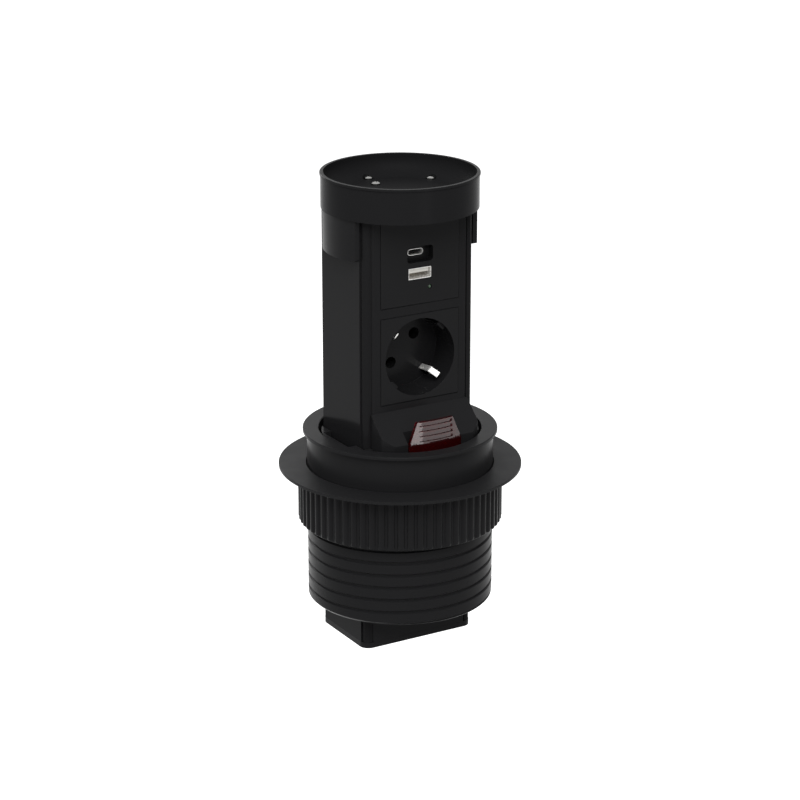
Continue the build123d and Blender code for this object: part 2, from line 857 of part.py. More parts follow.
def tray_screws():
    """Pan head screws that hold the tray to the head plate."""
    screw = pan_screw(tray_floor + tray_screw_reach)
    return [Pos(x, y, floor_top) * screw for x, y in tray_screw_places()]


def release_wedge():
    """Sloped housing in front of the tower, with a guide shoe below it."""
    slope = [
        (tower_front, wedge_top),
        (wedge_front, wedge_lip),
        (wedge_front, shoe_shoulder),
        (tower_front, shoe_shoulder),
    ]
    upper = side_profile(slope, wedge_half_width)
    upper = upper & upright(wedge_radius, (shoe_shoulder, wedge_top))
    ahead = (-shoe_radius - overrun, tower_front)
    sides = (-wedge_half_width, wedge_half_width)
    shoe = upright(shoe_radius, (shoe_bottom, shoe_shoulder))
    shoe = shoe & block(sides, ahead, (shoe_bottom, shoe_shoulder))
    body = upper + shoe
    slot_x = (-slot_half_width, slot_half_width)
    body -= block(slot_x, (-shoe_radius - overrun, slot_back), (slot_bottom, wedge_top))
    body -= block(slot_x, (slot_back - overrun, slot_deep_back), (slot_bottom, arm_top))
    pin_half = slot_half_width + pin_reach + seat_gap
    body -= along_x(pin_radius + screw_gap, (-pin_half, pin_half), pin_y, pin_z)
    for side in (-1, 1):
        for z in wedge_screw_heights:
            hole = (tower_front - screw_length - seat_gap, tower_front + overrun)
            body -= along_y(screw_radius + screw_gap, hole, side * wedge_screw_x, z)
    return body


def wedge_screws():
    """Screws driven from inside the cover into the wedge."""
    screw = Rot(X=-90) * pan_screw(tower_wall + screw_length)
    places = [(side * wedge_screw_x, z) for side in (-1, 1) for z in wedge_screw_heights]
    return [Pos(x, cover_back, z) * screw for x, z in places]


def lever_pin():
    """Pin across the wedge's slot that the release lever turns on."""
    half = slot_half_width + pin_reach
    return along_x(pin_radius, (-half, half), pin_y, pin_z)


def tab_face(z):
    """Front of the lever at x = 0: upright up to the knee, then leaning back."""
    above = max(0, z - tab_knee_z)
    return tab_knee_y + above * math.tan(math.radians(tab_lean))


def bowed_slice(z, half_width, front, back):
    """Level slice of the curved tab, between two depths behind its face."""
    middle = tab_face(z) + tab_bow
    corners = []
    arcs = []
    for radius in (tab_bow - front, tab_bow - back):
        chord = middle - math.sqrt(radius**2 - half_width**2)
        ends = ((-half_width, chord), (half_width, chord))
        arcs.append(ThreePointArc(ends[0], (0, middle - radius), ends[1]))
        corners.append(ends)
    sides = [Line(corners[0][end], corners[1][end]) for end in (0, 1)]
    return Pos(0, 0, z) * make_face(arcs + sides)


def release_lever():
    """Ribbed tab, arm and barrel of the release lever, in one piece."""
    heights = (arm_top - tab_thickness, tab_knee_z, tab_top)
    halves = (tab_half, tab_half, tab_top_half)
    slices = [bowed_slice(z, half, 0, tab_thickness) for z, half in zip(heights, halves)]
    body = loft(slices, ruled=True)
    for number in range(tab_groove_count):
        low = tab_knee_z + tab_groove_first + number * tab_groove_pitch
        ends = (low, low + tab_groove_height)
        cut = [bowed_slice(z, tab_groove_half, -overrun, tab_groove_depth) for z in ends]
        body -= loft(cut, ruled=True)
    across = (-tab_half, tab_half)
    body += block(across, (arm_front, arm_back), (pin_z, arm_top))
    body += block(across, (arm_back - overrun, web_back), (pin_z, pin_z + web_height))
    body += along_x(barrel_radius, across, pin_y, pin_z)
    bore = (-tab_half - overrun, tab_half + overrun)
    return body - along_x(pin_radius + screw_gap, bore, pin_y, pin_z)


def brake_pad():
    """Rubber pad that grips the sleeve's bore until the tab is pressed."""
    across = (-pad_half_width, pad_half_width)
    height = (pad_bottom, pad_top)
    return upright(shoe_radius, height) & block(across, (-bore_radius, arm_front), height)


def lever_spring():
    """Small coil spring between the arm and the back of the slot."""
    length = slot_deep_back - arm_back - 2 * (spring_wire + seat_gap)
    path = Helix(length / spring_turns, length, spring_radius)
    section = Plane(origin=path @ 0, x_dir=(1, 0, 0), z_dir=path % 0) * Circle(spring_wire)
    coil = sweep(section, path, is_frenet=True)
    return Pos(0, arm_back + spring_wire + seat_gap, spring_z) * Rot(X=-90) * coil


def tower_block(z):
    """Plain block of the tower's outer size, between the limits z."""
    return block((-tower_half_width, tower_half_width), (tower_front, tower_rear), z)


def guide_shoe():
    """Right hand shoe, between the tower's side and the sleeve's bore."""
    body = upright(shoe_radius, (shoe_bottom, shoe_shoulder))
    body += upright(shoe_top_radius, (shoe_shoulder, shoe_top))
    limits = (shoe_bottom, shoe_top)
    inner = wedge_half_width + shoe_side_gap
    body = body & block((inner, bore_radius), (shoe_front, shoe_rear), limits)
    body -= tower_block((shoe_bottom - overrun, shoe_top + overrun))
    key_reach = bore_radius + key_height - running_gap
    key = (tower_half_width + overrun, key_reach)
    body += block(key, (-key_half_width, key_half_width), (shoe_bottom, shoe_shoulder))
    pocket = (shoe_pocket_front, shoe_pocket_rear)
    depth = (shoe_pocket_bottom, shoe_top + overrun)
    pocket_side = tower_half_width + shoe_pocket_depth
    body -= block((tower_half_width - overrun, pocket_side), pocket, depth)
    seat = tower_half_width + shoe_screw_seat
    for y in shoe_screw_y:
        body -= along_x(screw_radius + screw_gap, (tower_half_width - overrun, seat), y, shoe_screw_z)
        head = (seat - seat_gap, bore_radius + overrun)
        body -= along_x(pan_radius + screw_gap, head, y, shoe_screw_z)
    return body


def rear_shoe():
    """Shoe behind the tower, with a pocket in its top."""
    start = tower_rear + rear_shoe_gap
    across = (-wedge_half_width, wedge_half_width)
    body = upright(shoe_radius, (shoe_bottom, shoe_shoulder))
    body += upright(shoe_top_radius, (shoe_shoulder, shoe_top))
    body = body & block(across, (start, bore_radius), (shoe_bottom, shoe_top))
    pocket = (-rear_pocket_half, rear_pocket_half)
    depth = (shoe_pocket_bottom, shoe_top + overrun)
    body -= block(pocket, (start - overrun, shoe_top_radius - rear_pocket_wall), depth)
    seat = start + shoe_screw_seat
    for side in (-1, 1):
        x = side * rear_screw_x
        body -= along_y(screw_radius + screw_gap, (start - overrun, seat), x, shoe_screw_z)
        body -= along_y(pan_radius + screw_gap, (seat - seat_gap, bore_radius), x, shoe_screw_z)
    return body


def shoe_screws():
    """Screws driven from outside through the shoes into the shell."""
    length = shoe_screw_seat + tower_wall + rear_shoe_gap
    screws = []
    for side in (-1, 1):
        sideways = Rot(Y=90 * side) * pan_screw(length)
        x = side * (tower_half_width + shoe_screw_seat)
        screws += [Pos(x, y, shoe_screw_z) * sideways for y in shoe_screw_y]
        rear = tower_rear + rear_shoe_gap + shoe_screw_seat
        backward = Rot(X=-90) * pan_screw(length)
        screws.append(Pos(side * rear_screw_x, rear, shoe_screw_z) * backward)
    return screws


def end_cap():
    """Plate under the tower with a ring that fits inside the shell."""
    middle = (tower_front + tower_rear) / 2
    outline = RectangleRounded(2 * tower_half_width, tower_rear - tower_front, cap_corner)
    body = Pos(0, middle, cap_bottom) * extrude(outline, cap_thickness)
    ring_x = column_x - seat_gap
    ring_y = (cover_back + seat_gap, tower_rear - tower_wall - seat_gap)
    ring = (tower_bottom, tower_bottom + cap_ring_height)
    body += block((-ring_x, ring_x), ring_y, ring)
    inside_x = ring_x - cap_ring_wall
    inside_y = (ring_y[0] + cap_ring_wall, ring_y[1] - cap_ring_wall)
    body -= block((-inside_x, inside_x), inside_y, (tower_bottom, ring[1] + overrun))
    body -= upright(inlet_radius, (cap_bottom - overrun, tower_bottom + overrun), y=inlet_y)
    for x, y in bead_places:
        body -= Pos(x, y, cap_bottom) * Rot(X=180) * flat_hole(cap_thickness)
    return body


def end_cap_screws():
    """Flat screws that hold the end cap to the shell's columns."""
    screw = Rot(X=180) * flat_screw(cap_thickness + screw_length)
    return [Pos(x, y, cap_bottom) * screw for x, y in bead_places]


def cable_bushing():
    """Rubber bushing in the cord inlet, with a lip inside the cap."""
    inside = tower_bottom + bushing_lip_height + seat_gap
    body = upright(inlet_radius - screw_gap, (cap_bottom, inside), y=inlet_y)
    lip = (tower_bottom + seat_gap, inside)
    body += upright(inlet_radius + bushing_lip, lip, y=inlet_y)
    return body - upright(inlet_bore, (cap_bottom - overrun, inside + overrun), y=inlet_y)


def terminal_places():
    """Places across the terminal block of the live, earth and neutral ways."""
    return (-pin_offset, 0, pin_offset)


def terminal_block():
    """Block on the end cap that joins the cord's cores to the tower's wires."""
    height = (tower_bottom + seat_gap, terminal_top)
    across = (-terminal_half_width, terminal_half_width)
    body = block(across, (terminal_front, terminal_rear), height)
    for x in terminal_places():
        bore = (terminal_top - terminal_bore_depth, terminal_top + overrun)
        body -= upright(terminal_bore, bore, x, terminal_y)
        back = (terminal_y, terminal_rear + overrun)
        body -= along_y(terminal_screw_radius + screw_gap, back, x, terminal_screw_z)
        body -= along_y(terminal_bore, back, x, tower_bottom + cord_hole_rise)
    return body


def terminal_screws():
    """Set screws that press on the wires in the terminal block."""
    length = (terminal_y + wire_radius + seat_gap, terminal_rear)
    slot_depth = (terminal_rear - recess_depth, terminal_rear + overrun)
    screws = []
    for x in terminal_places():
        body = along_y(terminal_screw_radius, length, x, terminal_screw_z)
        half = recess_width / 2
        reach = (x - terminal_screw_radius - overrun, x + terminal_screw_radius + overrun)
        height = (terminal_screw_z - half, terminal_screw_z + half)
        screws.append(body - block(reach, slot_depth, height))
    return screws


def wire(points, bend):
    """Round wire along straight runs joined by arcs."""
    path = FilletPolyline(*points, radius=bend)
    section = Plane(origin=path @ 0, z_dir=path % 0) * Circle(wire_radius)
    return sweep(section, path)


def riser(x, run_y, end):
    """Points of a wire from the terminal block up to the height end."""
    low = terminal_top - terminal_bore_depth + seat_gap
    return [
        (x, terminal_y, low),
        (x, terminal_y, terminal_top + wire_low_rise),
        (x, run_y, terminal_top + wire_high_rise),
        (x, run_y, end),
    ]


def mains_wires():
    """Live and neutral wires, each up to its own contact boss."""
    return [
        wire(riser(x, wire_run_y, z - boss_radius - seat_gap), wire_bend) for x, z in pin_places
    ]


def earth_wire():
    """Earth wire up the middle and forward to the strap of the clip."""
    points = riser(0, earth_run_y, socket_z) + [(0, strap_back + seat_gap, socket_z)]
    return wire(points, wire_bend / 2)


def usb_leads():
    """Leads from the contact bosses up to the circuit board."""
    leads = []
    for x, z in pin_places:
        start = (x, wire_run_y, z + boss_radius + seat_gap)
        corner = (x, wire_run_y, lead_bend_z)
        leads.append(wire([start, corner, (x, board_back + seat_gap, lead_bend_z)], wire_bend))
    return leads


def save(name, *solids):
    """Write one sub-part, which may be several identical solids."""
    shape = solids[0] if len(solids) == 1 else Compound(list(solids))
    export_step(shape, f"parts/{name}.step")


os.makedirs("parts", exist_ok=True)
live, neutral = mains_wires()
right_shoe = guide_shoe()
save("threaded_sleeve", threaded_sleeve())
save("clamp_disc", clamp_disc())
save("ring_nut", ring_nut())
save("tower_shell", tower_shell())
save("front_cover", front_cover())
save("head_plate", head_plate())
save("head_screws", *head_screws())
save("top_tray", top_tray())
save("tray_screws", *tray_screws())
save("socket_insert", socket_insert())
save("earth_clip", earth_clip())
save("contact_carrier", contact_carrier())
save("contact_sleeves", *contact_sleeves())
save("usb_faceplate", usb_faceplate())
save("usb_circuit_board", usb_circuit_board())
save("board_screws", *board_screws())
save("usb_a_shell", usb_a_shell())
save("usb_a_tongue", usb_a_tongue())
save("usb_a_contacts", *usb_a_contacts())
save("usb_c_shell", usb_c_shell())
save("usb_c_tongue", usb_c_tongue())
save("status_led", status_led())
save("power_transformer", power_transformer())
save("filter_capacitors", *filter_capacitors())
save("release_wedge", release_wedge())
save("wedge_screws", *wedge_screws())
save("lever_pin", lever_pin())
save("release_lever", release_lever())
save("brake_pad", brake_pad())
save("lever_spring", lever_spring())
save("guide_shoe_right", right_shoe)
save("guide_shoe_left", mirror(right_shoe, Plane.YZ))
save("rear_shoe", rear_shoe())
save("shoe_screws", *shoe_screws())
save("end_cap", end_cap())
save("end_cap_screws", *end_cap_screws())
save("cable_bushing", cable_bushing())
save("terminal_block", terminal_block())
save("terminal_screws", *terminal_screws())
save("live_wire", live)
save("neutral_wire", neutral)
save("earth_wire", earth_wire())
save("usb_leads", *usb_leads())
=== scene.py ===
import json
import math

import bmesh
import bpy
from bpy.props import FloatProperty, FloatVectorProperty, IntProperty, PointerProperty
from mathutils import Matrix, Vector


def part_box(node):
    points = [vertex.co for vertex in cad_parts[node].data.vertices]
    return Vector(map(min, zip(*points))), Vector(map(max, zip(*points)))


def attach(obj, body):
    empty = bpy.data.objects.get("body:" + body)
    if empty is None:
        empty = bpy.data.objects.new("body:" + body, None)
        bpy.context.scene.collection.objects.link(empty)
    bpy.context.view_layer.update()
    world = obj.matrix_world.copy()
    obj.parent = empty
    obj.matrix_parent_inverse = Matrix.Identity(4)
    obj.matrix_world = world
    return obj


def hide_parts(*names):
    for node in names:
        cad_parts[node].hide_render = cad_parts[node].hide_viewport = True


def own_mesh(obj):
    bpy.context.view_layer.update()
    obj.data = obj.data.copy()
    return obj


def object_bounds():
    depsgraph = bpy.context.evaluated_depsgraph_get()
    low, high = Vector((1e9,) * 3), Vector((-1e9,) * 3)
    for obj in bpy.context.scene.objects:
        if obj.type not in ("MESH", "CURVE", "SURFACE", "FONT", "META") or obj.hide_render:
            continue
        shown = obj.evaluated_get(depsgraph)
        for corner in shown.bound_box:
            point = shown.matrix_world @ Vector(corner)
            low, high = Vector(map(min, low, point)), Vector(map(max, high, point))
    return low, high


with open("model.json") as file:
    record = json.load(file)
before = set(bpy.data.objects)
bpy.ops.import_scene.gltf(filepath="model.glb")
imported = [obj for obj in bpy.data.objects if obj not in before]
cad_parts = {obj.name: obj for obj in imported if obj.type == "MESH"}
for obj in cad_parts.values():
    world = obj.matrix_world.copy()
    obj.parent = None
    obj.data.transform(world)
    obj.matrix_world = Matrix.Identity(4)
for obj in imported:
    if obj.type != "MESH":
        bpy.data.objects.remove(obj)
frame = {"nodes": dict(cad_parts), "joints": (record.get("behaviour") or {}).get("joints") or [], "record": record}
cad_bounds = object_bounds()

bl_info = {
    "name": "Pop Up Desk Socket",
    "version": (1, 0, 0),
    "blender": (4, 5, 0),
    "location": "View3D > Sidebar > Desk Socket",
    "description": "Dresses the pop up desk socket and lights it for a product picture",
    "category": "Object",
}

MM = 0.001
WHITE = "#ffffff"

# Range that most values of a noise texture keep within
NOISE_LOW = 0.3
NOISE_HIGH = 0.7

# Numbers of a Mix node's colour sockets, whose names its plain sockets have too
COLOUR_A = 6
COLOUR_B = 7
COLOUR_RESULT = 2

PLASTIC_IOR = 1.5
POLYCARBONATE_IOR = 1.58
GLOSS_PATCH = 18 * MM  # size of the patches where a moulded gloss is uneven
POLISHED_GRAIN = 0.3  # share of the grain's height left on the polished shell
SMOOTH_GRAIN = 0.5  # share of the grain's height on the module faces
DISH_ROUGHNESS = 0.5  # roughness inside the tray's dish

FINE_EDGE = 0.6  # share of the edge rounding on small moulded pieces
THIN_EDGE = 0.3  # share of the edge rounding on bent metal strip
OUTER_SCREWS = (30, 90, 150, 270)  # degrees round the tray to its outer screws


# Colours and small helpers


def linear(code):
    """Linear colour of an sRGB hex code, with full alpha."""
    parts = [int(code[i : i + 2], 16) / 255 for i in (1, 3, 5)]
    parts = [p / 12.92 if p <= 0.04045 else ((p + 0.055) / 1.055) ** 2.4 for p in parts]
    return (*parts, 1.0)


def colour(code, name, description):
    """Colour property whose default is an sRGB hex code."""
    return FloatVectorProperty(
        name=name, description=description, subtype="COLOR", size=4, default=linear(code)
    )


def length(mm, name, description):
    """Length property whose default is given in millimetres."""
    return FloatProperty(name=name, description=description, unit="LENGTH", default=mm * MM)


def angle(degrees, name, description):
    """Angle property whose default is given in degrees."""
    turn = math.radians(degrees)
    return FloatProperty(name=name, description=description, subtype="ANGLE", default=turn)


class PlasticLook(bpy.types.PropertyGroup):
    """Colours, grain and edges of the moulded plastics.

    The real grain is about 0.1 mm, too fine to show, so it is drawn coarser.
    """

    housing: colour("#1f1f20", "Housing", "Colour of the black housing")
    faces: colour("#1c1c1d", "Module faces", "Colour of the smoother module faces")
    # Painted shade: the colour inside the dish is darker than the housing's, standing for the shade that falls in
    # the dish
    dish_painted_shade: colour("#1c1c1d", "Dish colour", "Colour inside the tray's dish")
    tab: colour("#6e1417", "Release tab", "Colour of the clear red release tab")
    grain: length(0.45, "Grain", "Size of the spark eroded grain")
    grain_depth: length(0.006, "Grain depth", "Height of the spark eroded grain")
    edge: length(0.2, "Edge rounding", "Rounding of the moulded edges")
    # This radius also bounds the painted shade inside the dish
    dish: length(38.0, "Dish", "Radius inside which the tray is dull")


class NutSizes(bpy.types.PropertyGroup):
    """Sizes of the ring nut and its grip ribs."""

    count: IntProperty(name="Ribs", description="Number of grip ribs", default=66)
    bore: length(47.7, "Bore", "Radius of the nut's bore")
    wall: length(3.45, "Wall", "Wall of the nut outside its bore")
    rib: length(2.2, "Rib radius", "Radius of one round rib")
    sunk: length(1.15, "Rib sunk", "Depth of the rib centres under the nut's skin")
    end: length(1.25, "Rib end", "Rounding of the lower ends of the ribs")
    rounding: length(0.5, "Rounding", "Rounding of the nut's rims")
    ridge: length(0.6, "Ridge", "Radius of the thread ridge's section")
    pitch: length(6.6, "Pitch", "Rise of the thread in one turn")
    turns: FloatProperty(name="Turns", description="Turns of the thread ridge", default=1.5)
    start: length(0.7, "Start", "Height of the ridge's start above the nut's foot")


class ScrewSizes(bpy.types.PropertyGroup):
    """Sizes of the pan head screws in the tray."""

    head: length(2.3, "Head radius", "Radius of the pan head")
    height: length(1.7, "Head height", "Height of the pan head")
    dome: length(3.4, "Dome radius", "Radius of the ball that rounds the head")
    reach: length(1.3, "Recess reach", "Reach of the cross recess from its middle")
    width: length(0.55, "Recess width", "Width of the cross recess")
    depth: length(0.9, "Recess depth", "Depth of the cross recess")
    shank: length(1.2, "Shank radius", "Radius of the shank")


class ScrewPlaces(bpy.types.PropertyGroup):
    """Places of the screws on the tray's floor."""

    circle: length(31.6, "Screw circle", "Radius of the circle of outer screws")
    rear_x: length(-2.5, "Rear screw, side", "Place of the inner rear screw to the side")
    rear: length(19.7, "Rear screw", "Place of the inner rear screw")
    front: length(-16.7, "Front screw", "Place of the inner front screw")


class StageSettings(bpy.types.PropertyGroup):
    """Camera and floor of the product picture."""

    distance: length(1326.0, "Distance", "Distance from the camera to the aim point")
    aim_height: length(15.0, "Aim height", "Height of the aim point on the axis")
    turn: angle(-30.57, "Turn", "Camera's turn about the axis")
    rise: angle(18.55, "Rise", "Camera's rise above the level")
    lens: FloatProperty(name="Lens", description="Focal length", unit="CAMERA", default=117.8)
    floor_drop: length(10.0, "Floor drop", "Floor below the lowest reach of the tower")


GROUPS = {
    "socket_plastic": PlasticLook,
    "socket_nut": NutSizes,
    "socket_screws": ScrewSizes,
    "socket_screw_places": ScrewPlaces,
    "socket_stage": StageSettings,
}


def values(group):
    """Settings of a property group by name."""
    return {name: getattr(group, name) for name in group.__annotations__}


def add(tree, kind, inputs=(), **settings):
    """Adds a node with its settings. Its inputs, by name or in order, are values or links.

    A node given as an input is linked by its first output, and a list is several links.
    """
    node = tree.nodes.new(kind)
    for name, value in settings.items():
        setattr(node, name, value)
    pairs = inputs.items() if isinstance(inputs, dict) else enumerate(inputs)
    for name, value in pairs:
        for source in value if isinstance(value, list) else [value]:
            if isinstance(source, bpy.types.Node):
                source = source.outputs[0]
            if isinstance(source, bpy.types.NodeSocket):
                tree.links.new(source, node.inputs[name])
            else:
                node.inputs[name].default_value = source
    return node


# Materials, each named for what the real one is made of


def material(name, inputs):
    """Node material with its tree and its surface shader, which starts from these inputs."""
    made = bpy.data.materials.new(name)
    made.use_nodes = True
    tree = made.node_tree
    tree.nodes.clear()
    shader = add(tree, "ShaderNodeBsdfPrincipled", inputs)
    add(tree, "ShaderNodeOutputMaterial", {"Surface": shader})
    return made, tree, shader


def blotches(tree, size, detail=3.0, rough=0.5):
    """Noise on object coordinates whose blotches measure about size metres."""
    place = add(tree, "ShaderNodeTexCoord").outputs["Object"]
    inputs = {"Vector": place, "Scale": 1 / size, "Detail": detail, "Roughness": rough}
    return add(tree, "ShaderNodeTexNoise", inputs)


def uneven(tree, shader, marks, low, high):
    """Lets a shader's roughness drift from low to high with its marks."""
    drift = {"Value": marks, "From Min": NOISE_LOW, "From Max": NOISE_HIGH}
    drift = add(tree, "ShaderNodeMapRange", drift | {"To Min": low, "To Max": high})
    tree.links.new(drift.outputs["Result"], shader.inputs["Roughness"])


def raised(tree, shader, marks, depth):
    """Lets the marks stand proud of a shader's surface by depth metres."""
    relief = add(tree, "ShaderNodeBump", {"Height": marks, "Distance": depth, "Strength": 1.0})
    tree.links.new(relief.outputs["Normal"], shader.inputs["Normal"])


def moulded(name, base, rough, grain, depth, level=0.5, haze=0.04):
    """Moulded plastic: fine grain, and patches where the gloss is a little uneven."""
    inputs = {"Base Color": base, "IOR": PLASTIC_IOR, "Specular IOR Level": level}
    made, tree, shader = material(name, inputs)
    uneven(tree, shader, blotches(tree, GLOSS_PATCH), rough - haze, rough + haze)
    raised(tree, shader, blotches(tree, grain, detail=2.0, rough=0.6), depth)
    return made


def metal(name, base, rough, brush, depth, metallic=1.0):
    """Bare metal with the marks of its last working, which also vary its gloss.

    Real marks are too fine to show, so they are drawn some tenths of a millimetre wide.
    """
    vary = 0.3 * rough
    made, tree, shader = material(name, {"Base Color": base, "Metallic": metallic})
    marks = blotches(tree, brush, detail=4.0)
    uneven(tree, shader, marks, rough - vary, rough + vary)
    raised(tree, shader, marks, depth)
    return made


def satin_abs():
    """Spark eroded black ABS of the housing: broad soft highlights, fine grain."""
    look = bpy.context.scene.socket_plastic
    grain = {"grain": look.grain, "depth": look.grain_depth}
    return moulded("satin_black_abs", look.housing, rough=0.3, level=0.04, haze=0.03, **grain)


def gloss_abs():
    """Polished black ABS of the tower's shell, which slides: tighter highlights, faint grain."""
    look = bpy.context.scene.socket_plastic
    grain = {"grain": look.grain, "depth": POLISHED_GRAIN * look.grain_depth}
    return moulded("polished_black_abs", look.housing, rough=0.15, level=0.02, haze=0.02, **grain)


def tray_abs():
    """Black ABS of the tray, whose dish is duller than its polished wall and painted darker as shade."""
    look = bpy.context.scene.socket_plastic
    grain = {"grain": look.grain, "depth": look.grain_depth}
    made = moulded("tray_black_abs", look.housing, rough=0.21, level=0.02, haze=0.03, **grain)
    tree = made.node_tree
    inputs = tree.nodes["Principled BSDF"].inputs
    flat = (add(tree, "ShaderNodeTexCoord").outputs["Object"], (1, 1, 0))
    flat = add(tree, "ShaderNodeVectorMath", flat, operation="MULTIPLY")
    across = add(tree, "ShaderNodeVectorMath", (flat,), operation="LENGTH").outputs["Value"]
    inside = {"Value": across, "From Min": look.dish + look.edge, "From Max": look.dish}
    inside = add(tree, "ShaderNodeMapRange", inside)
    # Painted shade: inside the dish the base colour turns darker, to stand for the shade in the dish
    shade = {"Factor": inside, COLOUR_A: look.housing, COLOUR_B: look.dish_painted_shade}
    shade = add(tree, "ShaderNodeMix", shade, data_type="RGBA").outputs[COLOUR_RESULT]
    tree.links.new(shade, inputs["Base Color"])
    polish = inputs["Roughness"].links[0].from_socket
    dull = add(tree, "ShaderNodeMix", {"Factor": inside, "A": polish, "B": DISH_ROUGHNESS})
    tree.links.new(dull.outputs["Result"], inputs["Roughness"])
    return made


def matt_polyamide():
    """Black glass filled polyamide of the clamp disc and contact carrier: duller, greyer."""
    look = bpy.context.scene.socket_plastic
    grain = {"grain": look.grain, "depth": look.grain_depth}
    return moulded("matt_black_polyamide", look.housing, rough=0.45, level=0.06, **grain)


def smooth_abs():
    """Smoother black ABS of the module faces: a tighter sheen than the housing's."""
    look = bpy.context.scene.socket_plastic
    grain = {"grain": look.grain, "depth": SMOOTH_GRAIN * look.grain_depth}
    return moulded("smooth_black_abs", look.faces, rough=0.24, level=0.06, haze=0.03, **grain)


def tab_polycarbonate():
    """Clear red polycarbonate: a deep red body under a glossy skin that mirrors the room."""
    inputs = {
        "Base Color": bpy.context.scene.socket_plastic.tab,
        "IOR": POLYCARBONATE_IOR,
        "Transmission Weight": 0.85,
        "Coat Weight": 0.3,
        "Coat IOR": POLYCARBONATE_IOR,
        "Coat Roughness": 0.04,
    }
    made, tree, shader = material("clear_red_polycarbonate", inputs)
    uneven(tree, shader, blotches(tree, 6 * MM), low=0.06, high=0.1)
    return made


def rubber():
    """Black rubber of the brake pad and the bushing: dull, with a slightly mottled skin."""
    base = linear("#1d1d1d")
    return moulded("black_rubber", base, rough=0.75, grain=0.6 * MM, depth=0.02 * MM, level=0.3)


def zinc_steel():
    """Zinc plated steel of the screws, the lever's pin and its spring: bright and pale."""
    base = linear("#a3a3a1")
    return metal("zinc_plated_steel", base, rough=0.22, brush=0.4 * MM, depth=0.004 * MM)


def nickel_strip():
    """Satin nickel plate of the clip and the port shells: pale, half mirror, half sheen."""
    skin = {"rough": 0.3, "brush": 0.7 * MM, "depth": 0.002 * MM, "metallic": 0.55}
    return metal("nickel_plated_strip", linear("#f0efec"), **skin)


def bronze():
    """Dull phosphor bronze of the contact sleeves, painted near black brown as the shade deep in their holes."""
    # Painted shade: this base colour is far darker than bronze, standing for the shade inside the pin holes
    return metal("phosphor_bronze_painted_shade", linear("#140d07"), 0.5, brush=0.4 * MM, depth=0.004 * MM)


def brass():
    """Turned brass of the terminal screws: warm yellow, bright."""
    return metal("turned_brass", linear("#c9a24c"), 0.28, brush=0.3 * MM, depth=0.004 * MM)


def gold_plate():
    """Gold plated contact strips of the larger port: a dull yellow glint."""
    base = linear("#8f6c30")
    return metal("gold_plated_contact", base, rough=0.25, brush=0.3 * MM, depth=0.002 * MM)


def board_laminate():
    """Glass fibre board under green lacquer."""
    base = linear("#123f24")
    return moulded("green_board_laminate", base, rough=0.3, grain=0.8 * MM, depth=0.01 * MM)


def lamp_lens():
    """Dark green lens of the lamp, unlit and glossy."""
    inputs = {"Base Color": linear("#123d16"), "Coat Weight": 0.5}
    made, tree, shader = material("green_lamp_lens", inputs)
    uneven(tree, shader, blotches(tree, 1.2 * MM), low=0.06, high=0.14)
    return made


def ferrite():
    """Pressed grey ferrite of the transformer: dull and faintly pitted."""
    base = linear("#3a3a3c")
    return moulded("pressed_ferrite", base, rough=0.6, grain=0.5 * MM, depth=0.03 * MM)


def can_aluminium():
    """Drawn aluminium cans of the capacitors: pale, with a soft sheen."""
    return metal("drawn_aluminium", linear("#b9babc"), 0.3, brush=0.5 * MM, depth=0.004 * MM)


def white_polyester():
    """White polyester tongue of the larger port, nearly smooth."""
    base = linear("#dddbd4")
    return moulded("white_polyester", base, rough=0.4, grain=0.5 * MM, depth=0.006 * MM)


def pale_polyamide():
    """Pale grey polyamide of the terminal block, with a low sheen."""
    base = linear("#b8b6ae")
    return moulded("pale_polyamide", base, rough=0.5, grain=0.5 * MM, depth=0.01 * MM)


def insulation(name, code):
    """Soft vinyl insulation of one wire: even colour, low sheen."""
    return moulded(name, linear(code), rough=0.4, grain=0.8 * MM, depth=0.01 * MM)


MATERIALS = {
    "satin": satin_abs,
    "gloss": gloss_abs,
    "tray": tray_abs,
    "matt": matt_polyamide,
    "smooth": smooth_abs,
    "tab": tab_polycarbonate,
    "rubber": rubber,
    "zinc": zinc_steel,
    "nickel": nickel_strip,
    "brass": brass,
    "bronze": bronze,
    "gold": gold_plate,
    "board": board_laminate,
    "lamp": lamp_lens,
    "ferrite": ferrite,
    "can": can_aluminium,
    "pale": pale_polyamide,
    "white": white_polyester,
    "brown": lambda: insulation("brown_vinyl", "#3b2413"),
    "blue": lambda: insulation("blue_vinyl", "#1c4f9a"),
    "green": lambda: insulation("green_yellow_vinyl", "#6fae2a"),
}
made_materials = {}


def finish_of(key):
    """Material of that key, made once."""
    if key not in made_materials:
        made_materials[key] = MATERIALS[key]()
    return made_materials[key]


# Mesh helpers

bodies = {
    node: body for body, nodes in frame["record"]["behaviour"]["bodies"].items() for node in nodes
}


def put(node, mesh, key):
    """Piece with a finished mesh, which takes a CAD node's place and body."""
    piece = bpy.data.objects.new(node + "_piece", mesh)
    bpy.context.scene.collection.objects.link(piece)
    mesh.materials.clear()
    mesh.materials.append(finish_of(key))
    mesh.shade_smooth()
    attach(piece, bodies[node])
    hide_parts(node)
    return piece


def soften(piece, width):
    """Rounds a piece's sharp edges, as the mould does, and keeps its flats flat."""
    bevel = piece.modifiers.new("edge_rounding", "BEVEL")
    bevel.width = width
    bevel.segments = 2
    bevel.limit_method = "ANGLE"
    bevel.angle_limit = math.radians(35)
    even = piece.modifiers.new("even_shading", "WEIGHTED_NORMAL")
    even.weight = 100
    even.keep_sharp = True


def welded(node):
    """Copy of a CAD node's mesh, welded, with its flat faces joined up."""
    near = 0.001 * MM
    flat = math.radians(0.2)
    form = bmesh.new()
    form.from_mesh(frame["nodes"][node].data)
    bmesh.ops.remove_doubles(form, verts=form.verts, dist=near)
    bmesh.ops.dissolve_limit(form, angle_limit=flat, verts=form.verts, edges=form.edges)
    mesh = bpy.data.meshes.new(node + "_mesh")
    form.to_mesh(mesh)
    form.free()
    return mesh


